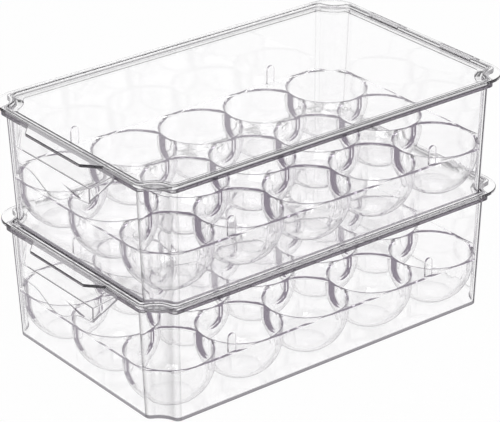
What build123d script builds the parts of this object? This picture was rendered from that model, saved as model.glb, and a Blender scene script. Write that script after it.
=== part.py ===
"""Egg keeper with flip lid: two identical clear keepers, the upper one standing in the lid of the lower one.

Each keeper is a bin with a handle hood, a lift-out tray of egg cups and a lid hinged on the far short end.
Millimetres. The origin is the centre of the lower bin's base; X runs along the bins, handles at -X; Z is up.
"""
from build123d import *
import math
import os

# ---- stack --------------------------------------------------------------------
TIERS = ("lower", "upper")

# ---- plan outline shared by walls, rim, tray and lid ---------------------------
HALF_LENGTH = 140.3           # wall outer face at the rim, along X
HALF_WIDTH = 85.0             # wall outer face at the rim, along Y
NOTCH_RADIUS = 14.0           # concave corner notch, centred on the outline's corner
LOBE_RADIUS = 4.0             # rounding where a notch meets a straight side
LOBE_RADIUS_INNER = 3.0

# ---- bin ------------------------------------------------------------------------
WALL = 1.8
FLOOR = 2.0
LEAN_LENGTH = 4.3             # the end walls lean in by this much from the ledge to the foot
LEAN_WIDTH = 1.6              # and the long walls by this much
NOTCH_GROWTH = 2.2            # the notches grow by this much towards the foot
FOOT_ROUND = 1.0
LEDGE_BOTTOM = 77.2
LEDGE_TOP = 78.4
RIM_STEP = 2.5                # the rim band stands out from the wall by this much
BAND_WALL = 1.8
BAND_TOP = 80.4

# ---- tray -----------------------------------------------------------------------
COLUMNS = 5
ROWS = 3
CUP_SPACING = 54.0
CUP_RADIUS = 26.6             # inside, at the deck
CUP_FLAT = 14.0               # radius of the flat bottom inside a cup
TRAY_WALL = 1.6
DECK_TOP = 34.6
TRAY_GAP = 0.2                # to the bin's wall, all the way down
TAB_X = 81.0
TAB_WIDTH = 6.0
TAB_TOP = 47.5

# ---- lid ------------------------------------------------------------------------
LID_GAP = 0.1                 # under the flange, above the rim band
PLUG_GAP = 0.7                # from the lid's plug to the inside of the rim band
PLUG_LIFT = 0.5               # from the lid's plug to the ledge
FLANGE_THICKNESS = 2.0
FLANGE_OVERHANG = 0.9         # beyond the rim band
FLANGE_CORNER = 19.0
DISH_DEPTH = 2.6              # from the flange's top down to the panel
DISH_INSET = 1.0              # from the wall's top outline to the upright side of the dish
PANEL = 2.2
PANEL_INSET = 5.9             # from the wall's top outline to the thick middle of the panel
SLOPE_INSET = 2.4             # from the wall's top outline to the top of the slope around it

# ---- thumb tab and handle ---------------------------------------------------------
HANDLE_REACH = 10.5           # beyond the rim band
THUMB_ROOT = 39.5             # half width at the flange
THUMB_TIP = 28.5              # half width at the free edge
THUMB_ROUND = 2.5
HOOD_WALL = 1.6
HOOD_OPEN = 5.0               # the hollow runs this far below the flap
HOOD_ROOT = 49.0              # half width at the rim
HOOD_FOLD = 38.0              # half width at the fold
HOOD_ROOT_LOW = 76.4
HOOD_ROOT_TOP = 79.6
FOLD_HEIGHT = 70.0
FLAP_END_HEIGHT = 60.0        # lower edge of the flap at its ends
FLAP_SHOULDER = 28.0
FLAP_SHOULDER_HEIGHT = 59.0
FLAP_BELLY = 20.0
FLAP_BELLY_HEIGHT = 53.5
FLAP_LOWEST = 50.0
FLAP_ROUND = 4.0

# ---- hinge ------------------------------------------------------------------------
ROD_RADIUS = 1.2
HINGE_CLEARANCE = 0.05        # radial, rod in knuckle
KNUCKLE_WALL = 1.05
KNUCKLE_ROOT = 1.0            # the knuckle's arm reaches this far into the flange
ARM_MEETS = 52.0              # degrees above +X where the arm's slope meets the knuckle
KNUCKLE_START = 21.0          # along Y, on both sides of the middle
KNUCKLE_END = 50.0
SNAP_MOUTH = 100.0            # degrees left open at the bottom of the knuckle
LUG_WIDTH = 2.8
LUG_GAP = 0.2
LUG_RADIUS = 1.9
HINGE_BACK_GAP = 0.4          # from the knuckle to the rim band

# ---- sizes that follow ------------------------------------------------------------
BAND_HALF = HALF_LENGTH + RIM_STEP
FLANGE_BOTTOM = BAND_TOP + LID_GAP
FLANGE_TOP = FLANGE_BOTTOM + FLANGE_THICKNESS
FLANGE_HALF_X = HALF_LENGTH + RIM_STEP + FLANGE_OVERHANG
FLANGE_HALF_Y = HALF_WIDTH + RIM_STEP + FLANGE_OVERHANG
PLUG_OFFSET = RIM_STEP - BAND_WALL - PLUG_GAP
PLUG_BOTTOM = LEDGE_TOP + PLUG_LIFT
PANEL_TOP = FLANGE_TOP - DISH_DEPTH
PANEL_BOTTOM = PANEL_TOP - PANEL
STACK_RISE = PANEL_TOP         # a keeper's foot stands on the panel below it
TIP_X = -(BAND_HALF + HANDLE_REACH)
KNUCKLE_RADIUS = ROD_RADIUS + HINGE_CLEARANCE + KNUCKLE_WALL
HINGE_X = BAND_HALF + HINGE_BACK_GAP + KNUCKLE_RADIUS
HINGE_Z = FLANGE_BOTTOM - KNUCKLE_RADIUS
CORNERS = [(x, y) for x in (-HALF_LENGTH, HALF_LENGTH) for y in (-HALF_WIDTH, HALF_WIDTH)]
CUP_CENTRE = FLOOR + TRAY_WALL + math.sqrt(CUP_RADIUS ** 2 - CUP_FLAT ** 2)
TRAY_INSET = WALL + TRAY_GAP
DECK_HALF_Y = HALF_WIDTH - LEAN_WIDTH * (1 - DECK_TOP / LEDGE_TOP) - TRAY_INSET
TAB_CENTRE = TAB_TOP - TAB_WIDTH / 2
HOOD_SLOPE = (HOOD_ROOT_TOP - FOLD_HEIGHT) / HANDLE_REACH
HOOD_CHEEK = (HOOD_ROOT - HOOD_FOLD) / HANDLE_REACH
HOOD_DROP = HOOD_WALL * math.hypot(1, HOOD_SLOPE)
HOOD_PINCH = HOOD_WALL * math.hypot(1, HOOD_CHEEK)
ROD_START = KNUCKLE_START - LUG_GAP - LUG_WIDTH
ROD_END = KNUCKLE_END + LUG_GAP + LUG_WIDTH
LUG_ROOT = BAND_HALF - BAND_WALL / 2
ARM_START = FLANGE_HALF_X - KNUCKLE_ROOT
ARM_END_X = HINGE_X + KNUCKLE_RADIUS * math.cos(math.radians(ARM_MEETS))
ARM_END_Z = HINGE_Z + KNUCKLE_RADIUS * math.sin(math.radians(ARM_MEETS))
MOUTH_REACH = 2 * KNUCKLE_RADIUS
MOUTH_SPREAD = MOUTH_REACH * math.tan(math.radians(SNAP_MOUTH / 2))


def draw_outline(offset, height=LEDGE_TOP, lobe=LOBE_RADIUS):
    """Draw the wall's notched outline at a height, offset outwards, in the open sketch."""
    lean = 1 - height / LEDGE_TOP
    Rectangle(2 * (HALF_LENGTH - LEAN_LENGTH * lean + offset), 2 * (HALF_WIDTH - LEAN_WIDTH * lean + offset))
    with Locations(*CORNERS):
        Circle(NOTCH_RADIUS + NOTCH_GROWTH * lean - offset, mode=Mode.SUBTRACT)
    fillet(vertices(), lobe)


def draw_end(half, low, high):
    """Draw an upright rectangle, centred across the bin, in the open sketch."""
    with Locations((0, (low + high) / 2)):
        Rectangle(2 * half, high - low)


def across(x):
    """Plane across the bin at x, drawn in Y and Z."""
    return Plane(origin=(x, 0, 0), x_dir=(0, 1, 0), z_dir=(1, 0, 0))


def along(y):
    """Plane along the bin at y, drawn in X and Z, facing -Y."""
    return Plane(origin=(0, y, 0), x_dir=(1, 0, 0), z_dir=(0, -1, 0))


# ---- cups: flat bottom, round side, upright lip; the solid bowl and its hollow -----------
cups = []
for radius, bottom, top in ((CUP_RADIUS + TRAY_WALL, FLOOR, DECK_TOP),
                            (CUP_RADIUS, FLOOR + TRAY_WALL, DECK_TOP + TRAY_WALL)):
    flat = math.sqrt(radius ** 2 - (CUP_CENTRE - bottom) ** 2)
    slant = radius / math.sqrt(2)
    with BuildPart() as cup:
        with BuildSketch(Plane.XZ):
            with BuildLine():
                Polyline((radius, CUP_CENTRE), (radius, top), (0, top), (0, bottom), (flat, bottom))
                ThreePointArc((flat, bottom), (slant, CUP_CENTRE - slant), (radius, CUP_CENTRE))
            make_face()
        revolve(axis=Axis.Z)
    cups.append(cup.part)
bowl, hollow = cups

# ---- handle hood: sloping top, hipped ends and a flap in front of the fingers --------
with BuildPart() as hood:
    with BuildSketch(across(-BAND_HALF)):
        draw_end(HOOD_ROOT, HOOD_ROOT_LOW, HOOD_ROOT_TOP)
    with BuildSketch(across(TIP_X)):
        draw_end(HOOD_FOLD, FLAP_END_HEIGHT, FOLD_HEIGHT)
    loft(ruled=True)
    # the flap, longer in the middle
    with BuildSketch(across(TIP_X)):
        with BuildLine():
            Polyline((-FLAP_BELLY, FLAP_BELLY_HEIGHT), (-FLAP_SHOULDER, FLAP_SHOULDER_HEIGHT),
                     (-HOOD_FOLD, FLAP_END_HEIGHT), (-HOOD_FOLD, FOLD_HEIGHT), (HOOD_FOLD, FOLD_HEIGHT),
                     (HOOD_FOLD, FLAP_END_HEIGHT), (FLAP_SHOULDER, FLAP_SHOULDER_HEIGHT),
                     (FLAP_BELLY, FLAP_BELLY_HEIGHT))
            ThreePointArc((FLAP_BELLY, FLAP_BELLY_HEIGHT), (0, FLAP_LOWEST), (-FLAP_BELLY, FLAP_BELLY_HEIGHT))
        make_face()
        fillet(vertices().group_by(Axis.Y)[0] + vertices().group_by(Axis.Y)[1], FLAP_ROUND)
    extrude(amount=HOOD_WALL)
    # hollow behind the flap, open below
    with BuildSketch(across(-BAND_HALF)):
        draw_end(HOOD_ROOT - HOOD_PINCH, FLAP_LOWEST - HOOD_OPEN, HOOD_ROOT_TOP - HOOD_DROP)
    with BuildSketch(across(TIP_X + HOOD_WALL)):
        draw_end(HOOD_FOLD + HOOD_CHEEK * HOOD_WALL - HOOD_PINCH, FLAP_LOWEST - HOOD_OPEN,
                 FOLD_HEIGHT + HOOD_SLOPE * HOOD_WALL - HOOD_DROP)
    loft(ruled=True, mode=Mode.SUBTRACT)

# ---- hinge rods between lugs -----------------------------------------------------------
with BuildPart() as rods:
    for side in (1, -1):
        middle = side * (ROD_START + ROD_END) / 2
        with BuildSketch(along(middle)):
            with Locations((HINGE_X, HINGE_Z)):
                Circle(ROD_RADIUS)
        extrude(amount=(ROD_END - ROD_START) / 2, both=True)
        for lug in (ROD_START + LUG_WIDTH / 2, ROD_END - LUG_WIDTH / 2):
            with BuildSketch(along(side * lug)):
                with Locations((HINGE_X, HINGE_Z)):
                    Circle(LUG_RADIUS)
                with BuildLine():
                    Polyline((LUG_ROOT, HINGE_Z + LUG_RADIUS), (LUG_ROOT, LEDGE_BOTTOM),
                             (BAND_HALF, LEDGE_BOTTOM), (HINGE_X, HINGE_Z - LUG_RADIUS),
                             (HINGE_X, HINGE_Z + LUG_RADIUS), close=True)
                make_face()
            extrude(amount=LUG_WIDTH / 2, both=True)

# ---- bin ------------------------------------------------------------------------------
with BuildPart() as bin_:
    # leaning walls, rounded at the foot
    with BuildSketch():
        draw_outline(0, 0)
    with BuildSketch(Plane.XY.offset(LEDGE_TOP)):
        draw_outline(0)
    loft(ruled=True)
    fillet(bin_.edges().group_by(Axis.Z)[0], FOOT_ROUND)
    # rim ledge and band
    with BuildSketch(Plane.XY.offset(LEDGE_BOTTOM)):
        draw_outline(RIM_STEP)
    extrude(amount=BAND_TOP - LEDGE_BOTTOM)
    # inside
    with BuildSketch(Plane.XY.offset(FLOOR)):
        draw_outline(-WALL, FLOOR, LOBE_RADIUS_INNER)
    with BuildSketch(Plane.XY.offset(LEDGE_TOP)):
        draw_outline(-WALL, lobe=LOBE_RADIUS_INNER)
    loft(ruled=True, mode=Mode.SUBTRACT)
    with BuildSketch(Plane.XY.offset(LEDGE_TOP)):
        draw_outline(RIM_STEP - BAND_WALL)
    extrude(amount=BAND_TOP - LEDGE_TOP, mode=Mode.SUBTRACT)
    add(hood.part)
    add(rods.part)

# ---- tray -----------------------------------------------------------------------------
with BuildPart() as tray:
    with BuildSketch(Plane.XY.offset(DECK_TOP - TRAY_WALL)):
        draw_outline(-TRAY_INSET, DECK_TOP)
    extrude(amount=TRAY_WALL)
    with GridLocations(CUP_SPACING, CUP_SPACING, COLUMNS, ROWS):
        add(bowl)
    # trimmed to keep clear of the leaning walls
    with BuildSketch(Plane.XY.offset(FLOOR)):
        draw_outline(-TRAY_INSET, FLOOR)
    with BuildSketch(Plane.XY.offset(DECK_TOP)):
        draw_outline(-TRAY_INSET, DECK_TOP)
    loft(ruled=True, mode=Mode.INTERSECT)
    with GridLocations(CUP_SPACING, CUP_SPACING, COLUMNS, ROWS):
        add(hollow, mode=Mode.SUBTRACT)
    # finger tabs standing on the long edges
    for side in (1, -1):
        with BuildSketch(along(side * (DECK_HALF_Y - TRAY_WALL / 2))):
            for x in (-TAB_X, TAB_X):
                with Locations((x, (DECK_TOP + TAB_CENTRE) / 2)):
                    Rectangle(TAB_WIDTH, TAB_CENTRE - DECK_TOP + TRAY_WALL)
                with Locations((x, TAB_CENTRE)):
                    Circle(TAB_WIDTH / 2)
        extrude(amount=TRAY_WALL / 2, both=True)

# ---- lid ------------------------------------------------------------------------------
with BuildPart() as lid:
    # underside: panel, slope and plug
    with BuildSketch(Plane.XY.offset(PANEL_BOTTOM)):
        draw_outline(-PANEL_INSET)
    with BuildSketch(Plane.XY.offset(PLUG_BOTTOM)):
        draw_outline(-SLOPE_INSET)
    loft(ruled=True)
    with BuildSketch(Plane.XY.offset(PLUG_BOTTOM)):
        draw_outline(PLUG_OFFSET)
    extrude(amount=FLANGE_TOP - PLUG_BOTTOM)
    # flange and thumb tab
    with BuildSketch(Plane.XY.offset(FLANGE_BOTTOM)):
        RectangleRounded(2 * FLANGE_HALF_X, 2 * FLANGE_HALF_Y, FLANGE_CORNER)
        with BuildLine():
            Polyline((-HALF_LENGTH, THUMB_ROOT), (-FLANGE_HALF_X, THUMB_ROOT), (TIP_X, THUMB_TIP),
                     (TIP_X, -THUMB_TIP), (-FLANGE_HALF_X, -THUMB_ROOT), (-HALF_LENGTH, -THUMB_ROOT),
                     close=True)
        make_face()
        fillet(vertices().group_by(Axis.X)[0], THUMB_ROUND)
    extrude(amount=FLANGE_THICKNESS)
    # dish that takes the foot of the keeper above
    with BuildSketch(Plane.XY.offset(PANEL_TOP)):
        draw_outline(-DISH_INSET)
    extrude(amount=DISH_DEPTH, mode=Mode.SUBTRACT)
    # knuckles, open at the bottom so that they snap over the rods
    for side in (1, -1):
        with BuildSketch(along(side * (KNUCKLE_START + KNUCKLE_END) / 2)):
            with Locations((HINGE_X, HINGE_Z)):
                Circle(KNUCKLE_RADIUS)
            with BuildLine():
                Polyline((ARM_START, FLANGE_BOTTOM), (ARM_START, FLANGE_TOP), (FLANGE_HALF_X, FLANGE_TOP),
                         (ARM_END_X, ARM_END_Z), (HINGE_X, HINGE_Z), (HINGE_X - KNUCKLE_RADIUS, HINGE_Z),
                         (HINGE_X - KNUCKLE_RADIUS, FLANGE_BOTTOM), close=True)
            make_face()
            with Locations((HINGE_X, HINGE_Z)):
                Circle(ROD_RADIUS + HINGE_CLEARANCE, mode=Mode.SUBTRACT)
            with BuildLine():
                Polyline((HINGE_X, HINGE_Z), (HINGE_X - MOUTH_SPREAD, HINGE_Z - MOUTH_REACH),
                         (HINGE_X + MOUTH_SPREAD, HINGE_Z - MOUTH_REACH), close=True)
            make_face(mode=Mode.SUBTRACT)
        extrude(amount=(KNUCKLE_END - KNUCKLE_START) / 2, both=True)

# ---- one of each for every tier of the stack ----------------------------------------------
os.makedirs("parts", exist_ok=True)
for level, tier in enumerate(TIERS):
    for name, shape in (("bin", bin_), ("tray", tray), ("lid", lid)):
        with BuildPart() as piece:
            with Locations((0, 0, level * STACK_RISE)):
                add(shape.part)
        piece.part.label = f"{tier}_{name}"
        export_step(piece.part, f"parts/{piece.part.label}.step")
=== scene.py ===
"""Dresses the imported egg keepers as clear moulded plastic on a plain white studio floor."""
from __future__ import annotations

import logging
import math
from dataclasses import dataclass, replace
from enum import Enum

import bmesh
import bpy
from mathutils import Matrix, Vector

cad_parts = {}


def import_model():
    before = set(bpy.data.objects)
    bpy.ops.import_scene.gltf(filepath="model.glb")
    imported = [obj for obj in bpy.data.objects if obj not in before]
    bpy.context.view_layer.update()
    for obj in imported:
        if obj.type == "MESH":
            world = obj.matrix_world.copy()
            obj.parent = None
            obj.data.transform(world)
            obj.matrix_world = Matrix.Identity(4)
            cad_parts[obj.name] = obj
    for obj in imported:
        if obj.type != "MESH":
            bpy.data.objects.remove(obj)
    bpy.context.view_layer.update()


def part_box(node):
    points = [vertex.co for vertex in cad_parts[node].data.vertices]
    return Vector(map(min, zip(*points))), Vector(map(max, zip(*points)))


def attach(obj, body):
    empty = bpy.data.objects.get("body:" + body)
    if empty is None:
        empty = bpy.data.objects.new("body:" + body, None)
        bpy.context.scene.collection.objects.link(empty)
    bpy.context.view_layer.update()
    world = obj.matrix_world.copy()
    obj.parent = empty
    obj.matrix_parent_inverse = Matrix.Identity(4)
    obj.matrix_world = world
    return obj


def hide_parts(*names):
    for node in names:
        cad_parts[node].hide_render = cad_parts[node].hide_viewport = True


LOG = logging.getLogger("egg_keeper")
MM = 0.001
LIGHT_PASSES = 96  # enough for light to cross every wall and cup of both keepers
INNER_REFLECTIONS = 4  # after these, trapped light takes a plastic's painted glow
EDGE_SHADE_MARK = "rounded"  # face attribute that places the painted edge shade: 0 on plain faces, 1 on roundings, more on a rim's outer faces
RIM_PAINTED_SHADE = 1.55  # how much more painted shade than a rounding the outer face of a rim takes
LEVEL = 0.98  # a face whose normal stands steeper than this is level
UPRIGHT = 0.5  # a face whose normal stands less steep than this is upright
SLIMNESS = 3.2  # a rounding's face is at least this many times as long as it is wide
FLAT_WEIGHT = 80  # how strongly a face's area counts in shared shading, 1 to 100
LONGEST_CORNER = 0.49  # most of a section's side that one rounded corner may take
SHARP = 0.02  # a section's corners rounded less stay sharp, in mm
LOBE = 4.0  # radius of the outlines' lobes, in mm
FAR = 1e3  # further than any part reaches, in mm
WELD = 0.002  # lengths that differ by less are the same, in mm
TINY = 1e-9  # smallest share or slope that counts
PARALLEL = 1e-12  # directions with a smaller cross product never meet
SAME_POINT = 1e-6  # mesh points closer than this become one, in metres
NO_LENGTH = 1e-7  # mesh edges shorter than this are dropped, in metres
EDGE_GLOW = {"bin": (0.16, 0.155, 0.165), "tray": (0.085, 0.068, 0.095),
             "lid": (0.02, 0.018, 0.022)}  # painted glow: colour that each moulding gives off where light stays trapped in it
Point2 = tuple[float, float]
Point3 = tuple[float, float, float]
Colour = tuple[float, float, float]
Level = bpy.types.NodeSocket | float


@dataclass(frozen=True)
class Turn:
    """One corner of a moulding's section.

    Args:
        offset: distance out from the reference outline, in mm.
        height: height above the keeper's base, in mm.
        rounding: radius of the corner, in mm.
        lobe: radius of the outline's lobes at this corner, in mm.
    """

    offset: float
    height: float
    rounding: float
    lobe: float


def rounded_section(turns: list[Turn], steps: int = 4) -> list[Turn]:
    """Round the corners of a section.

    Args:
        turns: corners in order; the first and the last stay sharp.
        steps: pieces in each rounded corner.

    Returns:
        The section's points in order.
    """
    out = [turns[0]]
    for before, here, after in zip(turns, turns[1:], turns[2:]):
        point = Vector((here.offset, here.height))
        back = Vector((before.offset, before.height)) - point
        ahead = Vector((after.offset, after.height)) - point
        angle = back.angle(ahead)
        reach = min(here.rounding / math.tan(angle / 2), LONGEST_CORNER * back.length,
                    LONGEST_CORNER * ahead.length)
        radius = reach * math.tan(angle / 2)
        if radius < SHARP:
            out.append(here)
            continue
        inwards = (back.normalized() + ahead.normalized()).normalized()
        centre = point + inwards * (radius / math.sin(angle / 2))
        start = point + back.normalized() * reach - centre
        sweep = start.angle_signed(point + ahead.normalized() * reach - centre)
        for step in range(steps + 1):
            turned = start.copy()
            turned.rotate(Matrix.Rotation(-sweep * step / steps, 2))
            place = centre + turned
            out.append(Turn(place.x, place.y, 0.0, here.lobe))
    out.append(turns[-1])
    return out


@dataclass(frozen=True)
class NotchedOutline:
    """Plan outline of the leaning walls, with concave corner notches.

    Args:
        half_length: half the outline's length along X, at the ledge.
        half_width: half the outline's width along Y, at the ledge.
        notch: radius of the corner notches at the ledge, centred on the outline's corners.
        ledge: height of the ledge, in mm.
        lean_length: how far the end walls lean in from the ledge to the foot.
        lean_width: how far the long walls lean in.
        notch_growth: how much larger the notches are at the foot.
    """

    half_length: float = 140.3
    half_width: float = 85.0
    notch: float = 14.0
    ledge: float = 78.4
    lean_length: float = 4.3
    lean_width: float = 1.6
    notch_growth: float = 2.2
    lobe_steps: int = 5
    notch_steps: int = 12
    side_steps: int = 6

    def halves(self, offset: float, height: float) -> Point2:
        """Half length and half width at a height, offset outwards."""
        lean = max(0.0, 1 - height / self.ledge)
        return (self.half_length - self.lean_length * lean + offset,
                self.half_width - self.lean_width * lean + offset)

    def quarter(self, turn: Turn) -> list[Point2]:
        """Points of the quarter with positive X and Y, from the X axis to the Y axis."""
        half_x, half_y = self.halves(turn.offset, turn.height)
        lobe = turn.lobe
        radius = self.notch + self.notch_growth * max(0.0, 1 - turn.height / self.ledge) - turn.offset
        corner = Vector((self.half_length, self.half_width))
        touch = (radius + lobe) ** 2
        first = Vector((half_x - lobe, corner.y - math.sqrt(touch - (corner.x - half_x + lobe) ** 2)))
        last = Vector((corner.x - math.sqrt(touch - (corner.y - half_y + lobe) ** 2), half_y - lobe))
        into = math.atan2(corner.y - first.y, corner.x - first.x)
        out_of = math.atan2(corner.y - last.y, corner.x - last.x)
        points = [(half_x, first.y * i / self.side_steps) for i in range(self.side_steps)]
        points += arc_points(first, lobe, 0.0, into, self.lobe_steps)
        points += arc_points(corner, radius, into + math.pi, out_of + math.pi, self.notch_steps)[1:-1]
        points += arc_points(last, lobe, out_of, math.pi / 2, self.lobe_steps)
        points += [(last.x * (1 - i / self.side_steps), half_y) for i in range(1, self.side_steps)]
        return points

    def ring(self, turn: Turn, lift: float) -> list[Point3]:
        """Whole outline at one turn of a section, counter-clockwise from the middle of the +X side."""
        plan = whole_ring(self.quarter(turn), *self.halves(turn.offset, turn.height))
        return [(x, y, turn.height + lift) for x, y in plan]


def arc_points(centre: Vector, radius: float, start: float, end: float, steps: int) -> list[Point2]:
    """Points of an arc, both ends included."""
    angles = [start + (end - start) * i / steps for i in range(steps + 1)]
    return [(centre.x + radius * math.cos(a), centre.y + radius * math.sin(a)) for a in angles]


def whole_ring(quarter: list[Point2], half_x: float, half_y: float) -> list[Point2]:
    """Repeat a quarter outline round the origin.

    Args:
        quarter: points from the X axis up to, but not on, the Y axis.
        half_x: where the outline crosses the X axis.
        half_y: where it crosses the Y axis.

    Returns:
        The closed outline's points, counter-clockwise from the +X side.
    """
    top = (0.0, half_y)
    inner = quarter[1:]
    return ([quarter[0]] + inner + [top] + [(-x, y) for x, y in reversed(inner)] + [(-half_x, 0.0)]
            + [(-x, -y) for x, y in inner] + [(0.0, -half_y)] + [(x, -y) for x, y in reversed(inner)])


@dataclass(frozen=True)
class RoundedOutline:
    """Plan outline with convex corners, with as many points as a notched one."""

    half_length: float = 143.7
    half_width: float = 88.4
    corner: float = 19.0

    def ring(self, turn: Turn, like: NotchedOutline, lift: float) -> list[Point3]:
        """Whole outline at one turn of a section, point for point with a notched outline."""
        inset = -turn.offset
        half_x, half_y, radius = self.half_length - inset, self.half_width - inset, self.corner - inset
        centre = Vector((half_x - radius, half_y - radius))
        turns = 2 * like.lobe_steps + like.notch_steps
        steps = like.side_steps
        points = [(half_x, centre.y * i / steps) for i in range(steps)]
        points += arc_points(centre, radius, 0.0, math.pi / 2, turns)
        points += [(centre.x * (1 - i / steps), half_y) for i in range(1, steps)]
        return [(x, y, turn.height + lift) for x, y in whole_ring(points, half_x, half_y)]


def mesh_object(name: str, verts: list[Point3], faces: list[tuple[int, ...]]) -> bpy.types.Object:
    """Make a closed mesh, given in mm, with its faces pointing outwards.

    Args:
        name: name of the object and of its mesh.
        verts: points in mm.
        faces: corner numbers of each face.

    Returns:
        The linked object, in metres.
    """
    mesh = bpy.data.meshes.new(name)
    mesh.from_pydata([tuple(MM * c for c in v) for v in verts], [], faces)
    work = bmesh.new()
    work.from_mesh(mesh)
    bmesh.ops.remove_doubles(work, verts=work.verts, dist=SAME_POINT)
    bmesh.ops.dissolve_degenerate(work, edges=work.edges, dist=NO_LENGTH)
    bmesh.ops.recalc_face_normals(work, faces=work.faces)
    work.to_mesh(mesh)
    work.free()
    obj = bpy.data.objects.new(name, mesh)
    bpy.context.scene.collection.objects.link(obj)
    return obj


def swept(name: str, rings: list[list[Point3]]) -> bpy.types.Object:
    """Join rings of equal length into a closed skin with flat ends."""
    count = len(rings[0])
    verts = [point for ring in rings for point in ring]
    faces: list[tuple[int, ...]] = []
    for row in range(len(rings) - 1):
        for i in range(count):
            j = (i + 1) % count
            a, b = row * count, (row + 1) * count
            faces.append((a + i, a + j, b + j, b + i))
    faces.append(tuple(reversed(range(count))))
    faces.append(tuple((len(rings) - 1) * count + i for i in range(count)))
    return mesh_object(name, verts, faces)


class Along(Enum):
    """Directions in which a prism can run."""

    X = "x"
    Y = "y"
    Z = "z"


def prism(name: str, outline: list[Point2], axis: Along, low: float, high: float,
          bevel: float = 0.0, steps: int = 2) -> bpy.types.Object:
    """Closed straight prism with softened edges.

    Args:
        name: name of the object.
        outline: section; (y, z) for axis X, (x, z) for axis Y, (x, y) for axis Z.
        axis: the direction in which it runs.
        low: where it starts along the axis.
        high: where it ends.
        bevel: rounding of its edges, in mm.
        steps: pieces in each rounded edge.

    Returns:
        The prism's object.
    """
    place = {Along.X: lambda p, d: (d, p[0], p[1]), Along.Y: lambda p, d: (p[0], d, p[1]),
             Along.Z: lambda p, d: (p[0], p[1], d)}[axis]
    obj = swept(name, [[place(p, low) for p in outline], [place(p, high) for p in outline]])
    if bevel:
        soften(obj, bevel, steps)
    return obj


def soften(obj: bpy.types.Object, width: float, steps: int, limit: float = 28.0) -> None:
    """Round the sharp edges of a mesh and keep the result."""
    modifier = obj.modifiers.new("soft_edges", "BEVEL")
    modifier.width = width * MM
    modifier.segments = steps
    modifier.limit_method = "ANGLE"
    modifier.angle_limit = math.radians(limit)
    keep_modifiers(obj)


def keep_modifiers(obj: bpy.types.Object) -> None:
    """Replace a mesh by what its modifiers make of it."""
    bpy.context.view_layer.update()
    graph = bpy.context.evaluated_depsgraph_get()
    done = bpy.data.meshes.new_from_object(obj.evaluated_get(graph))
    old = obj.data
    obj.modifiers.clear()
    obj.data = done
    bpy.data.meshes.remove(old)


class Merge(Enum):
    """Ways in which a solid changes another."""

    JOIN = "UNION"
    CUT = "DIFFERENCE"
    TRIM = "INTERSECT"


def combine(base: bpy.types.Object, other: bpy.types.Object, merge: Merge = Merge.JOIN) -> None:
    """Join another solid to a base, cut it away or trim the base to it, and remove the other."""
    modifier = base.modifiers.new("combine", "BOOLEAN")
    modifier.operation = merge.value
    modifier.solver = "EXACT"
    modifier.object = other
    keep_modifiers(base)
    bpy.data.objects.remove(other)


def mark_edge_shade(mesh: bpy.types.Mesh, rim: tuple[float, float], lowest: float,
                   widest: float = 1.3) -> None:
    """Mark where the painted edge shade goes: the narrow faces that round a moulding's edges, and, more
    strongly, the outer faces of its rim.

    Args:
        mesh: the moulding.
        rim: heights between which its outer faces take the rim's stronger painted shade, in mm.
        lowest: height of the lowest rounding that takes painted shade, in mm.
        widest: width of the widest rounding, in mm.
    """
    shade_marks = mesh.attributes.new(EDGE_SHADE_MARK, "FLOAT", "FACE")
    points = [vertex.co for vertex in mesh.vertices]
    for polygon in mesh.polygons:
        corners = list(polygon.vertices)
        longest = max((points[a] - points[b]).length for a, b in zip(corners, corners[1:] + corners[:1]))
        width = polygon.area / longest
        height, steepness = polygon.center.z / MM, abs(polygon.normal.z)
        slim = width < min(widest * MM, longest / SLIMNESS) and height > lowest
        outward = polygon.normal.xy.dot(polygon.center.xy) > 0.0 and steepness < UPRIGHT
        # the outer faces of the rim band take the strongest painted shade
        if outward and rim[0] < height < rim[1]:
            shade_marks.data[polygon.index].value = RIM_PAINTED_SHADE
        else:
            shade_marks.data[polygon.index].value = float(slim and steepness < LEVEL)


def finish_surface(obj: bpy.types.Object, material: bpy.types.Material, rim: tuple[float, float],
                   lowest: float, sharp: float = 30.0) -> None:
    """Smooth a mesh except at its hard edges, mark where its painted edge shade goes and give it its plastic.

    Args:
        obj: the moulding.
        material: its plastic.
        rim: heights between which its outer faces take the rim's stronger painted shade, in mm.
        lowest: height of its lowest rounding that takes painted shade, in mm.
        sharp: smallest angle of a hard edge, in degrees.
    """
    for polygon in obj.data.polygons:
        polygon.use_smooth = True
    obj.data.set_sharp_from_angle(angle=math.radians(sharp))
    mark_edge_shade(obj.data, rim, lowest)
    flats = obj.modifiers.new("true_flats", "WEIGHTED_NORMAL")
    flats.mode = "FACE_AREA"
    flats.weight = FLAT_WEIGHT
    flats.keep_sharp = True
    keep_modifiers(obj)
    obj.data.materials.clear()
    obj.data.materials.append(material)


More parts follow.
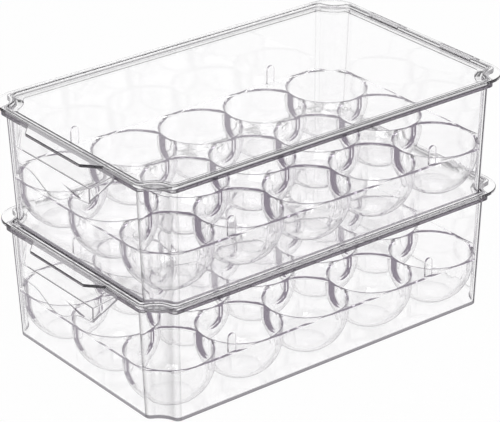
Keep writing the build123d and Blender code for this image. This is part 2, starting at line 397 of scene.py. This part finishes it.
@dataclass(frozen=True)
class Handle:
    """Handle hood: sloping top, hipped ends and a hanging flap. Sizes in mm."""

    reach: float = 10.5
    wall: float = 1.6
    root_half: float = 49.0
    fold_half: float = 38.0
    root_low: float = 76.4
    root_top: float = 79.6
    fold: float = 70.0
    flap_end: float = 60.0
    shoulder_half: float = 28.0
    shoulder: float = 59.0
    lowest: float = 50.0
    hollow_low: float = 40.0
    root: float = 0.4
    flap_steps: int = 10
    softness: float = 0.45

    def build(self, rim: float, lift: float) -> bpy.types.Object:
        """Make the hood as one shell.

        Args:
            rim: distance of the rim band's face from the middle of the bin.
            lift: height of the keeper's base.

        Returns:
            The hood's object.
        """
        tip = rim + self.reach
        slope = (self.root_top - self.fold) / self.reach
        cheek = (self.root_half - self.fold_half) / self.reach
        drop = self.wall * math.hypot(1, slope)
        pinch = self.wall * math.hypot(1, cheek)
        root = self.root
        back = (-rim + root, self.root_half + cheek * root, self.root_low, self.root_top + slope * root)
        outer = self.wedge("hood", back, (-tip, self.fold_half, self.flap_end, self.fold), lift)
        flap = prism("flap", [(y, z + lift) for y, z in self.flap_outline()], Along.X, -tip, -tip + self.wall)
        combine(outer, flap)
        back = (-rim + 2 * root, self.root_half + 2 * cheek * root - pinch, self.hollow_low,
                self.root_top + 2 * slope * root - drop)
        front = (-tip + self.wall, self.fold_half + cheek * self.wall - pinch, self.hollow_low,
                 self.fold + slope * self.wall - drop)
        combine(outer, self.wedge("hollow", back, front, lift), Merge.CUT)
        soften(outer, self.softness, 3)
        return outer

    def wedge(self, name: str, back: tuple[float, ...], front: tuple[float, ...],
              lift: float) -> bpy.types.Object:
        """Solid between two upright rectangles, each given as x, half width, low and high."""
        rings = []
        for x, half, low, high in (back, front):
            bottom, top = low + lift, high + lift
            rings.append([(x, -half, bottom), (x, half, bottom), (x, half, top), (x, -half, top)])
        return swept(name, rings)

    def flap_outline(self) -> list[Point2]:
        """Flap seen from the end: level shoulders and a deeper rounded middle."""
        half = [(0.0, self.lowest)]
        for i in range(1, self.flap_steps + 1):
            share = i / self.flap_steps
            eased = 0.5 - 0.5 * math.cos(math.pi * share)
            half.append((self.shoulder_half * share, self.lowest + (self.shoulder - self.lowest) * eased))
        half += [(self.fold_half, self.flap_end), (self.fold_half, self.fold)]
        return half + [(-y, z) for y, z in reversed(half[1:])]


@dataclass(frozen=True)
class Hinge:
    """Hinge on the far short end: rods between lugs, and open knuckles round them.

    Sizes are in mm and angles in degrees.
    """

    x: float = 145.5
    z: float = 78.2
    rod: float = 1.2
    clearance: float = 0.05
    knuckle: float = 2.295  # just under the solid's 2.3, to stay inside its box
    start: float = 21.0
    end: float = 50.0
    lug_width: float = 2.8
    lug_gap: float = 0.2
    lug_radius: float = 1.9
    lug_foot: float = 77.2
    mouth: float = 100.0
    arm_meets: float = 52.0
    inside: float = 0.3
    lug_root: float = 0.9
    lug_turn: float = 0.3  # in radians
    lug_round: float = 0.25
    arm_root: float = 1.2
    arm_end: float = 0.1
    knuckle_round: float = 0.2
    circle_steps: int = 28
    lug_steps: int = 18
    outer_steps: int = 20
    inner_steps: int = 8

    def add_rods(self, bin_: bpy.types.Object, rim: float, lift: float) -> None:
        """Add the rods and their lugs to a bin."""
        first, last = self.start - self.lug_gap - self.lug_width, self.end + self.lug_gap + self.lug_width
        z = self.z + lift
        root = rim - self.lug_root
        round_rod = circle(self.x, z, self.rod, self.circle_steps)
        lug = [(root, z + self.lug_radius), (root, self.lug_foot + self.inside + lift),
               (rim, self.lug_foot + self.inside + lift)]
        lug += arc_points(Vector((self.x, z)), self.lug_radius, -math.pi / 2 - self.lug_turn, math.pi / 2,
                          self.lug_steps)
        for side in (1, -1):
            ends = sorted((side * first, side * last))
            combine(bin_, prism("rod", round_rod, Along.Y, *ends))
            for start in (first, last - self.lug_width):
                span = sorted((side * start, side * (start + self.lug_width)))
                combine(bin_, prism("lug", lug, Along.Y, *span, bevel=self.lug_round))

    def add_knuckles(self, lid: bpy.types.Object, flange: tuple[float, float, float], lift: float) -> None:
        """Add the knuckles and their arms to a lid.

        Args:
            lid: the lid's mesh.
            flange: the flange's outer edge along X, its underside and its top, in mm.
            lift: height of the keeper's base.
        """
        edge, low, high = flange
        centre = Vector((self.x, self.z + lift))
        mouth = math.radians(self.mouth / 2)
        bore = self.rod + self.clearance
        start, bottom, top = edge - self.arm_root, low + self.inside + lift, high - self.inside + lift
        section = [(start, bottom), (start, top), (edge - self.arm_end, top)]
        section += arc_points(centre, self.knuckle, math.radians(self.arm_meets), mouth - math.pi / 2,
                              self.outer_steps)
        section += arc_points(centre, bore, mouth - math.pi / 2, 1.5 * math.pi - mouth, self.circle_steps)
        section += arc_points(centre, self.knuckle, 1.5 * math.pi - mouth, math.pi, self.inner_steps)
        section.append((self.x - self.knuckle, bottom))
        for side in (1, -1):
            ends = sorted((side * self.start, side * self.end))
            combine(lid, prism("knuckle", section, Along.Y, *ends, bevel=self.knuckle_round))


def circle(x: float, y: float, radius: float, steps: int) -> list[Point2]:
    """Points of a circle."""
    return [(x + radius * math.cos(math.tau * i / steps), y + radius * math.sin(math.tau * i / steps))
            for i in range(steps)]


@dataclass(frozen=True)
class Bin:
    """Bin with leaning notched walls and a stepped rim. Sizes in mm."""

    outline: NotchedOutline
    handle: Handle
    hinge: Hinge
    wall: float = 1.8
    floor: float = 2.0
    floor_edge: float = 3.0
    foot_round: float = 1.0
    ledge_bottom: float = 77.2
    step: float = 2.5
    band_top: float = 80.4

    def section(self) -> list[Turn]:
        """Section from the inside of the floor over the rim to the foot."""
        inside, outside = 3.0, LOBE
        inner = self.step - self.wall
        ledge = self.outline.ledge
        return rounded_section([
            Turn(-self.wall - self.floor_edge, self.floor, 0.0, inside),
            Turn(-self.wall, self.floor, 0.8, inside),
            Turn(-self.wall, ledge, 0.35, inside),
            Turn(inner, ledge, 0.3, outside),
            Turn(inner, self.band_top, 0.5, outside),
            Turn(self.step, self.band_top, 0.5, outside),
            Turn(self.step, self.ledge_bottom, 0.4, outside),
            Turn(0.0, self.ledge_bottom, 0.5, outside),
            Turn(0.0, 0.0, self.foot_round, outside),
            Turn(-self.floor_edge, 0.0, 0.0, outside)])

    def build(self, tier: str, lift: float) -> bpy.types.Object:
        """Make the bin of one tier."""
        shell = swept(f"{tier}_bin_moulding", [self.outline.ring(turn, lift) for turn in self.section()])
        rim = self.outline.half_length + self.step
        combine(shell, self.handle.build(rim, lift))
        self.hinge.add_rods(shell, rim, lift)
        return shell


@dataclass(frozen=True)
class Lid:
    """Flip lid: dished panel, flange, thumb tab and knuckles. Sizes in mm."""

    outline: NotchedOutline
    flange_outline: RoundedOutline
    hinge: Hinge
    seat: float = 79.9
    sunk: float = 0.25
    panel_low: float = 77.7
    panel_inset: float = 5.9
    panel_edge: float = 2.0
    dish_inset: float = 1.0
    flange_low: float = 80.5
    flange_high: float = 82.5
    plug_low: float = 78.9
    slope_inset: float = 2.4
    edge_round: float = 0.7
    tab_root: float = 39.5
    tab_tip: float = 28.5
    tab_x: float = 153.3
    tab_round: float = 2.5
    tab_start: float = 1.5
    tab_soft: float = 0.6

    def build(self, tier: str, lift: float) -> bpy.types.Object:
        """Make the lid of one tier."""
        lobe, middle = LOBE, -self.panel_inset - self.panel_edge
        upper = rounded_section([
            Turn(middle, self.seat - self.sunk, 0.0, lobe),
            Turn(-self.panel_inset - self.sunk, self.seat - self.sunk, 0.1, lobe),
            Turn(-self.panel_inset, self.seat, 0.1, lobe),
            Turn(-self.dish_inset, self.seat, 0.35, lobe),
            Turn(-self.dish_inset, self.flange_high, 0.8, lobe),
            Turn(0.2, self.flange_high, 0.0, lobe)])
        edge = rounded_section([
            Turn(-1.6, self.flange_high, 0.0, lobe), Turn(0.0, self.flange_high, self.edge_round, lobe),
            Turn(0.0, self.flange_low, 0.8 * self.edge_round, lobe), Turn(-0.6, self.flange_low, 0.0, lobe)])
        lower = rounded_section([
            Turn(0.5, self.flange_low, 0.0, lobe), Turn(0.0, self.flange_low, 0.1, lobe),
            Turn(0.0, self.plug_low, 0.3, lobe), Turn(-self.slope_inset, self.plug_low, 0.3, lobe),
            Turn(-self.panel_inset, self.panel_low, 0.5, lobe),
            Turn(middle, self.panel_low, 0.0, lobe)])
        rings = [self.outline.ring(turn, lift) for turn in upper]
        rings += [self.flange_outline.ring(turn, self.outline, lift) for turn in edge]
        rings += [self.outline.ring(turn, lift) for turn in lower]
        lid = swept(f"{tier}_lid_moulding", rings)
        combine(lid, self.thumb_tab(lift))
        flange = (self.flange_outline.half_length, self.flange_low, self.flange_high)
        self.hinge.add_knuckles(lid, flange, lift)
        return lid

    def thumb_tab(self, lift: float) -> bpy.types.Object:
        """Tapered tab over the handle."""
        inner = self.outline.half_length + self.tab_start
        edge = self.flange_outline.half_length
        corners = [(-inner, self.tab_root), (-edge, self.tab_root), (-self.tab_x, self.tab_tip)]
        corners += [(x, -y) for x, y in reversed(corners)]
        outline = rounded_corners(corners, {2: self.tab_round, 3: self.tab_round})
        low, high = self.flange_low + lift, self.flange_high + lift
        return prism("tab", outline, Along.Z, low, high, bevel=self.tab_soft, steps=3)


def rounded_corners(corners: list[Point2], radii: dict[int, float]) -> list[Point2]:
    """Closed outline with some of its corners rounded.

    Args:
        corners: the outline's corners.
        radii: radius for each rounded corner's number.

    Returns:
        The outline's points in order.
    """
    count = len(corners)
    out: list[Point2] = []
    for i, corner in enumerate(corners):
        if i not in radii:
            out.append(corner)
            continue
        turns = [Turn(*corners[(i - 1) % count], 0, 0), Turn(*corner, radii[i], 0),
                 Turn(*corners[(i + 1) % count], 0, 0)]
        out += [(turn.offset, turn.height) for turn in rounded_section(turns, 6)[1:-1]]
    return out


@dataclass(frozen=True)
class Tray:
    """Lift-out tray: deck, rows of cups and four finger tabs. Sizes in mm."""

    outline: NotchedOutline
    inset: float = 2.0
    columns: int = 5
    rows: int = 3
    pitch: float = 54.0
    radius: float = 26.6
    flat: float = 14.0
    wall: float = 1.6
    floor: float = 2.0
    float_gap: float = 0.12
    spare: float = 0.6
    deck: float = 34.6
    lip: float = 2.2
    tab_x: float = 81.0
    tab_width: float = 6.0
    tab_top: float = 47.5
    tab_sunk: float = 0.8
    tab_round: float = 0.35
    tab_steps: int = 12
    seam_turn: float = 0.004  # in radians
    trim_low: float = 0.5
    trim_spare: float = 4.0
    # tray faces below this height take no painted edge shade
    lowest_rounding: float = 33.0
    angle_steps: int = 56
    bowl_steps: int = 9

    @property
    def centre(self) -> float:
        """Height of the centre of the cups' round side."""
        return self.floor + self.wall + math.sqrt(self.radius ** 2 - self.flat ** 2)

    def edge(self) -> list[Point2]:
        """Outer edge of the untrimmed deck."""
        spare = Turn(self.spare - self.inset, self.deck, 0.0, LOBE)
        return [(x, y) for x, y, _ in self.outline.ring(spare, 0.0)]

    def angles(self) -> list[float]:
        """Directions from a cup's centre in which its cell is sampled."""
        half = self.pitch / 2
        out = {round(math.tau * i / self.angle_steps, 6) for i in range(self.angle_steps)}
        half_x, half_y = self.outline.halves(self.spare - self.inset, self.deck)
        long = half_x - (self.columns - 1) / 2 * self.pitch
        wide = half_y - (self.rows - 1) / 2 * self.pitch
        meet = math.acos(half / (self.radius + self.wall))
        for turn in (math.atan2(half, long), math.atan2(wide, half), meet, meet + self.seam_turn,
                     math.pi / 4, math.pi / 2 - meet, math.pi / 2 - meet - self.seam_turn):
            for mirrored in (turn, math.pi - turn, math.pi + turn, math.tau - turn):
                out.add(round(mirrored, 6))
        return sorted(out)

    def reach(self, x: float, y: float, angle: float, edge: list[Point2]) -> tuple[float, bool]:
        """Distance from a cup's centre to the end of its cell in one direction.

        Args:
            x: the cup's centre.
            y: the cup's centre.
            angle: direction.
            edge: the deck's outer edge.

        Returns:
            The distance, and whether it ends on the deck's outer edge.
        """
        dx, dy = math.cos(angle), math.sin(angle)
        half = self.pitch / 2
        grid = rim = FAR
        for slope, middle, count in ((dx, x, self.columns), (dy, y, self.rows)):
            between_cups = abs(middle + math.copysign(half, slope)) < (count / 2 - 0.1) * self.pitch
            if abs(slope) > TINY and between_cups:
                grid = min(grid, half / abs(slope))
        for (x1, y1), (x2, y2) in zip(edge, edge[1:] + edge[:1]):
            ex, ey = x2 - x1, y2 - y1
            cross = dx * ey - dy * ex
            if abs(cross) < PARALLEL:
                continue
            along = ((x1 - x) * ey - (y1 - y) * ex) / cross
            share = ((x1 - x) * dy - (y1 - y) * dx) / cross
            if along > 0 and -TINY <= share <= 1 + TINY:
                rim = min(rim, along)
        return (rim, True) if rim <= grid + WELD / 2 else (grid, False)

    def bowl(self, radius: float, flat: float, bottom: float) -> list[Point2]:
        """Radius and height along one skin of a cup, from its middle to where it is widest.

        Args:
            radius: radius of the skin's round side.
            flat: radius of its flat bottom.
            bottom: height of its flat bottom.

        Returns:
            The skin's points in order.
        """
        start = -math.acos(flat / radius)
        turns = [start * (1 - i / self.bowl_steps) for i in range(self.bowl_steps + 1)]
        return [(0.0, bottom), (0.6 * flat, bottom)] + [
            (radius * math.cos(turn), self.centre + radius * math.sin(turn)) for turn in turns]

    def upper(self, reach: float) -> list[Point2]:
        """Radius and height along the top skin, from a cup's middle outwards."""
        points = self.bowl(self.radius, self.flat, self.floor + self.wall)
        room = (reach - self.radius) / self.lip
        end = math.pi / 2 if room > 1 else math.acos(1 - room)
        shares = (0.0, 1 / 3, 2 / 3, 1.0) if room > 1 else (0.0, 0.25, 0.5, 0.75)
        points += [(self.radius + self.lip * (1 - math.cos(end * share)), self.lip_height(end * share))
                   for share in shares]
        return points + [(reach, self.lip_height(end))]

    def lip_height(self, turn: float) -> float:
        """Height on the cup's rounded lip, turn radians from its foot."""
        return self.deck - self.lip * (1 - math.sin(turn))

    def lower(self, reach: float) -> list[Point2]:
        """Radius and height along the underside, from a cup's middle outwards."""
        radius = self.radius + self.wall
        bottom = self.floor + self.float_gap
        flat = math.sqrt(radius ** 2 - (self.centre - bottom) ** 2)
        under = self.deck - self.wall
        points = self.bowl(radius, flat, bottom) + [(radius, under), (reach, under)]
        if reach > radius - WELD:
            return points
        drop = self.centre - math.sqrt(max(0.0, radius ** 2 - reach ** 2))
        return [(r, z) if r < reach else (reach, drop) for r, z in points]

    def trimmer(self, lift: float) -> bpy.types.Object:
        """Solid with the leaning outline that the tray fills."""
        fine = replace(self.outline, lobe_steps=8, notch_steps=24)
        levels = (self.trim_low, self.deck + self.trim_spare)
        return swept("trimmer", [fine.ring(Turn(-self.inset, level, 0.0, LOBE), lift) for level in levels])

    def build(self, tier: str, lift: float) -> bpy.types.Object:
        """Make the tray of one tier."""
        verts: list[Point3] = []
        faces: list[tuple[int, ...]] = []
        edge = self.edge()
        for column in range(self.columns):
            for row in range(self.rows):
                x = (column - (self.columns - 1) / 2) * self.pitch
                y = (row - (self.rows - 1) / 2) * self.pitch
                self.add_cell(verts, faces, (x, y), edge, lift)
        tray = mesh_object(f"{tier}_tray_moulding", verts, faces)
        combine(tray, self.trimmer(lift), Merge.TRIM)
        self.add_tabs(tray, lift)
        return tray

    def add_cell(self, verts: list[Point3], faces: list[tuple[int, ...]], middle: Point2,
                 edge: list[Point2], lift: float) -> None:
        """Add one cup and the deck round it, and a side face where the deck ends.

        Args:
            verts: the tray's points so far, in mm.
            faces: the tray's faces so far.
            middle: the cup's centre.
            edge: the deck's outer edge.
            lift: height of the keeper's base.
        """
        x, y = middle
        angles = self.angles()
        count = len(angles)
        ends = [self.reach(x, y, a, edge) for a in angles]
        reaches, outer = [end[0] for end in ends], [end[1] for end in ends]
        clipped = [not on_edge and r <= self.radius + self.wall - WELD for r, on_edge in ends]
        columns = []
        for skin in (self.upper, self.lower):
            base = len(verts)
            lines = [skin(r) for r in reaches]
            rows = len(lines[0])
            for line, angle in zip(lines, angles):
                verts.extend((x + r * math.cos(angle), y + r * math.sin(angle), z + lift) for r, z in line)
            for i in range(count):
                j = (i + 1) % count
                shared = skin == self.lower and (clipped[i] or clipped[j])
                for k in range(rows - 3 if shared else rows - 1):
                    a, b = base + i * rows + k, base + j * rows + k
                    faces.append((a, b, b + 1, a + 1) if skin == self.lower else (a, a + 1, b + 1, b))
            columns.append([base + i * rows + rows - 1 for i in range(count)])
        top, under = columns
        for i in range(count):
            j = (i + 1) % count
            if outer[i] and outer[j]:
                faces.append((top[i], under[i], under[j], top[j]))

    def add_tabs(self, tray: bpy.types.Object, lift: float) -> None:
        """Stand the finger tabs on the long edges."""
        radius = self.tab_width / 2
        edge = self.outline.halves(-self.inset, self.deck)[1]
        foot, top = self.deck - self.tab_sunk + lift, self.tab_top - radius + lift
        for x in (-self.tab_x, self.tab_x):
            arch = arc_points(Vector((x, top)), radius, 0.0, math.pi, self.tab_steps)
            outline = [(x - radius, foot), (x + radius, foot)] + arch
            for side in (1, -1):
                ends = sorted((side * edge, side * (edge - self.wall)))
                combine(tray, prism("tab", outline, Along.Y, *ends, bevel=self.tab_round))


@dataclass(frozen=True)
class ClearPlastic:
    """Colourless moulded plastic with painted shade where it is seen edge-on.

    Args:
        name: name of the material.
        edge_glow: painted glow, the colour that light staying trapped between the surfaces gives off.
        depth_tint: colour of light after a long way through the plastic.
        depth_density: how quickly it takes that colour, per metre.
        painted_edge_shade: painted shade, the colour given to light that passes a surface seen almost
            edge-on.
        edge_start: how far a plain and a rounded face turn away before they take the painted edge shade, 0 to
            1.
        edge_end: how far they turn away when they have all of it.
        roughness: polish of the surface.
        index: refractive index.
        shade: share of light that each surface keeps out of the shadow.
        ripple: height of the moulded surface's faint waves, in mm.
        ripple_scale: waves per metre.
    """

    name: str
    edge_glow: Colour
    depth_tint: Colour = (0.80, 0.755, 0.815)
    depth_density: float = 14.0
    painted_edge_shade: Colour = (0.05, 0.04, 0.055)
    edge_start: tuple[float, float] = (0.66, 0.12)
    edge_end: tuple[float, float] = (0.95, 0.50)
    roughness: float = 0.0
    index: float = 1.5
    shade: float = 0.06
    ripple: float = 0.01
    ripple_scale: float = 60.0

    def make(self) -> bpy.types.Material:
        """Build the node material."""
        material = bpy.data.materials.new(self.name)
        material.use_nodes = True
        tree = material.node_tree
        shader = tree.nodes["Principled BSDF"]
        shader.inputs["Base Color"].default_value = (1.0, 1.0, 1.0, 1.0)
        shader.inputs["Roughness"].default_value = self.roughness
        shader.inputs["IOR"].default_value = self.index
        shader.inputs["Transmission Weight"].default_value = 1.0
        self.darken_depth(tree)
        self.paint_edge_shade(tree, shader)
        self.glow_at_edges(tree, shader)
        self.pass_lamp_light(tree, shader)
        self.wave_surface(tree, shader)
        return material

    def darken_depth(self, tree: bpy.types.NodeTree) -> None:
        """Tint light by the distance that it travels inside."""
        depth = tree.nodes.new("ShaderNodeVolumeAbsorption")
        depth.inputs["Color"].default_value = (*self.depth_tint, 1.0)
        depth.inputs["Density"].default_value = self.depth_density
        tree.links.new(depth.outputs["Volume"], tree.nodes["Material Output"].inputs["Volume"])

    def paint_edge_shade(self, tree: bpy.types.NodeTree, shader: bpy.types.Node) -> None:
        """Paint shade on light that passes the surface at a glancing angle, sooner on a rounding."""
        turned = tree.nodes.new("ShaderNodeLayerWeight")
        rounded = tree.nodes.new("ShaderNodeAttribute")
        rounded.attribute_name = EDGE_SHADE_MARK
        share = tree.nodes.new("ShaderNodeMapRange")
        tree.links.new(turned.outputs["Facing"], share.inputs["Value"])
        for name, plain, round_ in (("From Min", *self.edge_start), ("From Max", *self.edge_end)):
            limit = tree.nodes.new("ShaderNodeMix")
            limit.clamp_factor = False
            limit.inputs["A"].default_value = plain
            limit.inputs["B"].default_value = round_
            tree.links.new(rounded.outputs["Fac"], limit.inputs["Factor"])
            tree.links.new(limit.outputs["Result"], share.inputs[name])
        # painted shade: white where the surface faces the eye, dark where it is seen edge-on
        ramp = tree.nodes.new("ShaderNodeValToRGB")
        ramp.color_ramp.elements[0].color = (1.0, 1.0, 1.0, 1.0)
        ramp.color_ramp.elements[1].color = (*self.painted_edge_shade, 1.0)
        tree.links.new(share.outputs["Result"], ramp.inputs["Fac"])
        tree.links.new(ramp.outputs["Color"], shader.inputs["Base Color"])

    def glow_at_edges(self, tree: bpy.types.NodeTree, shader: bpy.types.Node) -> None:
        """Painted glow: light that stays trapped inside the plastic gives off the colour of its edges."""
        path = tree.nodes.new("ShaderNodeLightPath")
        trapped = tree.nodes.new("ShaderNodeMath")
        trapped.operation = "GREATER_THAN"
        trapped.inputs[1].default_value = INNER_REFLECTIONS - 0.5
        shader.inputs["Emission Color"].default_value = (*self.edge_glow, 1.0)
        tree.links.new(path.outputs["Glossy Depth"], trapped.inputs[0])
        tree.links.new(trapped.outputs[0], shader.inputs["Emission Strength"])

    def pass_lamp_light(self, tree: bpy.types.NodeTree, shader: bpy.types.Node) -> None:
        """Let light through to what stands behind, so that the shadow stays faint."""
        path = tree.nodes.new("ShaderNodeLightPath")
        shade = tree.nodes.new("ShaderNodeMapRange")
        shade.inputs["To Min"].default_value = 1.0
        shade.inputs["To Max"].default_value = self.shade
        tree.links.new(path.outputs["Is Shadow Ray"], shade.inputs["Value"])
        tree.links.new(shade.outputs["Result"], shader.inputs["Alpha"])

    def wave_surface(self, tree: bpy.types.NodeTree, shader: bpy.types.Node) -> None:
        """Give the surface the faint waves of a moulding."""
        place = tree.nodes.new("ShaderNodeTexCoord")
        waves = tree.nodes.new("ShaderNodeTexNoise")
        waves.inputs["Scale"].default_value = self.ripple_scale
        waves.inputs["Detail"].default_value = 1.0
        bump = tree.nodes.new("ShaderNodeBump")
        bump.inputs["Strength"].default_value = 1.0
        bump.inputs["Distance"].default_value = self.ripple * MM
        tree.links.new(place.outputs["Object"], waves.inputs["Vector"])
        tree.links.new(waves.outputs["Fac"], bump.inputs["Height"])
        tree.links.new(bump.outputs["Normal"], shader.inputs["Normal"])


@dataclass
class Camera:
    """Camera at the height and side from which the stack is seen."""

    azimuth: float = -38.5
    elevation: float = 26.0
    distance: float = 1.639
    lens: float = 182.2
    sensor: float = 36.0
    target: Point3 = (-0.0007, 0.0008, 0.0743)

    def place(self) -> None:
        """Add the camera and make it the scene's own."""
        a, e = math.radians(self.azimuth), math.radians(self.elevation)
        back = Vector((math.sin(a) * math.cos(e), -math.cos(a) * math.cos(e), math.sin(e)))
        data = bpy.data.cameras.new("camera")
        data.lens = self.lens
        data.sensor_width = self.sensor
        camera = bpy.data.objects.new("camera", data)
        camera.location = Vector(self.target) + back * self.distance
        camera.rotation_euler = back.to_track_quat("Z", "Y").to_euler()
        bpy.context.scene.collection.objects.link(camera)
        bpy.context.scene.camera = camera


@dataclass(frozen=True)
class Sky:
    """Sky that fades from white to dark between two heights, as the sines of their angles."""

    start: float
    end: float
    dark: float


@dataclass(frozen=True)
class Lamp:
    """Soft square lamp.

    Args:
        name: name of the lamp.
        place: where it hangs, in metres.
        size: length of its sides, in metres.
        power: its power, in watts.
    """

    name: str
    place: Point3
    size: float
    power: float


@dataclass
class Studio:
    """White floor, white surroundings and soft lamps."""

    lamps: tuple[Lamp, ...] = (Lamp("key", (-1.2, -1.0, 2.2), 1.4, 26.0),
                               Lamp("fill", (1.8, -1.6, 1.4), 1.6, 12.0))
    aim: Point3 = (0.0, 0.0, 0.08)
    world_light: float = 0.55
    sky: Sky = Sky(0.48, 0.62, 0.03)
    floor_glow: float = 0.96
    floor_size: float = 8.0
    floor_drop: float = 0.0004
    floor_white: float = 0.93
    floor_roughness: float = 0.9

    def build(self) -> None:
        """Add the world, the floor and the lamps."""
        self.surroundings()
        self.floor()
        for lamp in self.lamps:
            self.hang(lamp)

    def seen(self, tree: bpy.types.NodeTree) -> bpy.types.NodeSocket:
        """Whether the eye sees this spot, straight or by way of gloss or clear plastic."""
        path = tree.nodes.new("ShaderNodeLightPath")
        value = path.outputs["Is Camera Ray"]
        for kind in ("Is Glossy Ray", "Is Transmission Ray"):
            either = tree.nodes.new("ShaderNodeMath")
            either.operation = "MAXIMUM"
            tree.links.new(value, either.inputs[0])
            tree.links.new(path.outputs[kind], either.inputs[1])
            value = either.outputs[0]
        return value

    def surroundings(self) -> None:
        """White world for the eye, darker overhead in gloss and clear plastic, and dim as light."""
        world = bpy.data.worlds.new("surroundings")
        bpy.context.scene.world = world
        world.use_nodes = True
        tree = world.node_tree
        background = tree.nodes["Background"]
        background.inputs["Color"].default_value = (1.0, 1.0, 1.0, 1.0)
        path = tree.nodes.new("ShaderNodeLightPath")
        overhead = self.overhead(tree)
        strength = self.choose(tree, path.outputs["Is Glossy Ray"], self.world_light, overhead)
        strength = self.choose(tree, path.outputs["Is Transmission Ray"], strength, overhead)
        strength = self.choose(tree, path.outputs["Is Camera Ray"], strength, 1.0)
        tree.links.new(strength, background.inputs["Strength"])

    def overhead(self, tree: bpy.types.NodeTree) -> bpy.types.NodeSocket:
        """White up to a height in the sky and darker above it."""
        place = tree.nodes.new("ShaderNodeTexCoord")
        split = tree.nodes.new("ShaderNodeSeparateXYZ")
        tree.links.new(place.outputs["Generated"], split.inputs[0])
        fade = tree.nodes.new("ShaderNodeMapRange")
        fade.inputs["From Min"].default_value = self.sky.start
        fade.inputs["From Max"].default_value = self.sky.end
        fade.inputs["To Min"].default_value = 1.0
        fade.inputs["To Max"].default_value = self.sky.dark
        tree.links.new(split.outputs["Z"], fade.inputs["Value"])
        return fade.outputs["Result"]

    def choose(self, tree: bpy.types.NodeTree, switch: bpy.types.NodeSocket, off: Level,
               on: Level) -> bpy.types.NodeSocket:
        """Number that is one of two by a switch.

        Args:
            tree: where the nodes go.
            switch: 0 or 1.
            off: the number at 0, plain or from a node.
            on: the number at 1, plain or from a node.

        Returns:
            Where the chosen number comes out.
        """
        mix = tree.nodes.new("ShaderNodeMix")
        tree.links.new(switch, mix.inputs["Factor"])
        for name, level in (("A", off), ("B", on)):
            if isinstance(level, float):
                mix.inputs[name].default_value = level
            else:
                tree.links.new(level, mix.inputs[name])
        return mix.outputs["Result"]

    def floor(self) -> None:
        """White floor that fades into the surroundings and keeps a faint shadow."""
        half = self.floor_size / 2
        mesh = bpy.data.meshes.new("floor")
        corners = [(-half, -half, 0), (half, -half, 0), (half, half, 0), (-half, half, 0)]
        mesh.from_pydata(corners, [], [(0, 1, 2, 3)])
        obj = bpy.data.objects.new("floor", mesh)
        obj.location.z = -self.floor_drop
        bpy.context.scene.collection.objects.link(obj)
        material = bpy.data.materials.new("floor_white")
        material.use_nodes = True
        tree = material.node_tree
        shader = tree.nodes["Principled BSDF"]
        shader.inputs["Base Color"].default_value = (*[self.floor_white] * 3, 1.0)
        shader.inputs["Roughness"].default_value = self.floor_roughness
        shader.inputs["Specular IOR Level"].default_value = 0.0
        glow = tree.nodes.new("ShaderNodeEmission")
        glow.inputs["Strength"].default_value = 1.0
        blend = tree.nodes.new("ShaderNodeMixShader")
        share = self.choose(tree, self.seen(tree), 0.0, self.floor_glow)
        tree.links.new(share, blend.inputs[0])
        tree.links.new(shader.outputs[0], blend.inputs[1])
        tree.links.new(glow.outputs[0], blend.inputs[2])
        tree.links.new(blend.outputs[0], tree.nodes["Material Output"].inputs["Surface"])
        mesh.materials.append(material)

    def hang(self, lamp: Lamp) -> None:
        """Add a lamp aimed at the stack, which the plastic doesn't mirror."""
        data = bpy.data.lights.new(lamp.name, "AREA")
        data.size = lamp.size
        data.energy = lamp.power
        obj = bpy.data.objects.new(lamp.name, data)
        obj.location = lamp.place
        obj.rotation_euler = (Vector(lamp.place) - Vector(self.aim)).to_track_quat("Z", "Y").to_euler()
        obj.visible_glossy = False
        bpy.context.scene.collection.objects.link(obj)


class Tier(Enum):
    """Keepers of the stack, from the floor up."""

    LOWER = "lower"
    UPPER = "upper"


@dataclass
class Keeper:
    """One keeper: bin, tray and lid.

    Args:
        tier: which keeper of the stack it is.
        lift: height of its base, in mm.
        plastic: material of each of its mouldings.
    """

    tier: Tier
    lift: float
    plastic: dict[str, bpy.types.Material]

    def build(self) -> None:
        """Make the mouldings and put them in place of their solids."""
        outline, hinge = NotchedOutline(), Hinge()
        makers = {"bin": Bin(outline, Handle(), hinge), "tray": Tray(outline),
                  "lid": Lid(outline, RoundedOutline(), hinge)}
        # heights of the bin rim's outer faces that take the stronger painted shade, and the lowest tray
        # rounding that takes any
        rim_shade_heights = {"bin": (self.lift + Bin.ledge_bottom, self.lift + Bin.band_top)}
        lowest = {"tray": self.lift + Tray.lowest_rounding}
        bodies = {"bin": "keeper", "tray": "tray_body", "lid": "lid_body"}
        for kind, maker in makers.items():
            piece = maker.build(self.tier.value, self.lift)
            finish_surface(piece, self.plastic[kind], rim_shade_heights.get(kind, (0.0, 0.0)), lowest.get(kind, -1.0))
            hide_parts(f"{self.tier.value}_{kind}")
            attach(piece, f"{self.tier.value}_{bodies[kind]}")
            LOG.info("made %s with %d faces", piece.name, len(piece.data.polygons))


def main() -> None:
    """Load the frame, build both keepers and light them."""
    logging.basicConfig(level=logging.INFO, format="%(name)s %(message)s")
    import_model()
    scene = bpy.context.scene
    scene.view_settings.view_transform = "Standard"
    scene.cycles.max_bounces = LIGHT_PASSES
    scene.cycles.transmission_bounces = LIGHT_PASSES
    scene.cycles.glossy_bounces = INNER_REFLECTIONS
    scene.cycles.transparent_max_bounces = LIGHT_PASSES
    Camera().place()
    Studio().build()
    lift = {Tier.LOWER: 0.0, Tier.UPPER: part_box("upper_bin")[0][2] / MM}
    plastic = {kind: ClearPlastic(f"clear_{kind}", glow).make() for kind, glow in EDGE_GLOW.items()}
    for tier in Tier:
        Keeper(tier, lift[tier], plastic).build()


if __name__ == "__main__":
    main()
